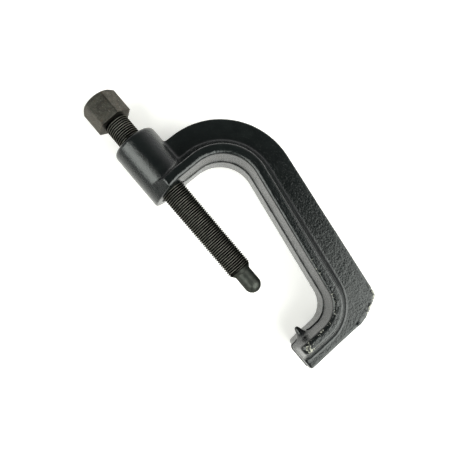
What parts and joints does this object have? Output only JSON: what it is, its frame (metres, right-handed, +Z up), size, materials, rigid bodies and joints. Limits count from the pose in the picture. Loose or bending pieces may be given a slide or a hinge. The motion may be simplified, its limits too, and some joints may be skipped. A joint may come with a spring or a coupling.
{
  "type": "ball joint separator",
  "caption": "C-frame press: a hex-headed forcing screw in a threaded boss pushes a round nose towards a pointed jaw.",
  "frame": {"origin": "centre of the bounding box's bottom face, with the tool lying flat", "axes": "+Z up through the frame's thickness, +Y along the screw towards its hex head, +X from the screw towards the frame's leg"},
  "size_m": [0.116, 0.2933, 0.052],
  "materials": {
    "enamelled_forging": "semi-gloss black enamel over a rough forging",
    "oxide_steel": "matte black oxide, worn to brown-grey on the head",
    "nose_steel": "smooth dark hardened steel"
  },
  "bodies": {
    "frame": {"c_frame": "enamelled_forging"},
    "nose": {"screw_nose": "nose_steel"},
    "screw": {"forcing_screw": "oxide_steel"}
  },
  "joints": [
    {"name": "screw_travel", "type": "slide", "parent": "frame", "child": "nose", "axis": [0, -1, 0], "range_m": [-0.0871, 0.0229]},
    {"name": "screw_turn", "type": "hinge", "parent": "nose", "child": "screw", "pos_m": [-0.03845, 0, 0.026], "axis": [0, -1, 0], "range_deg": [-15660, 4104]}
  ],
  "couplings": [
    {"joint": "screw_travel", "follows": "screw_turn", "m_per_rad": 0.00031831}
  ]
}
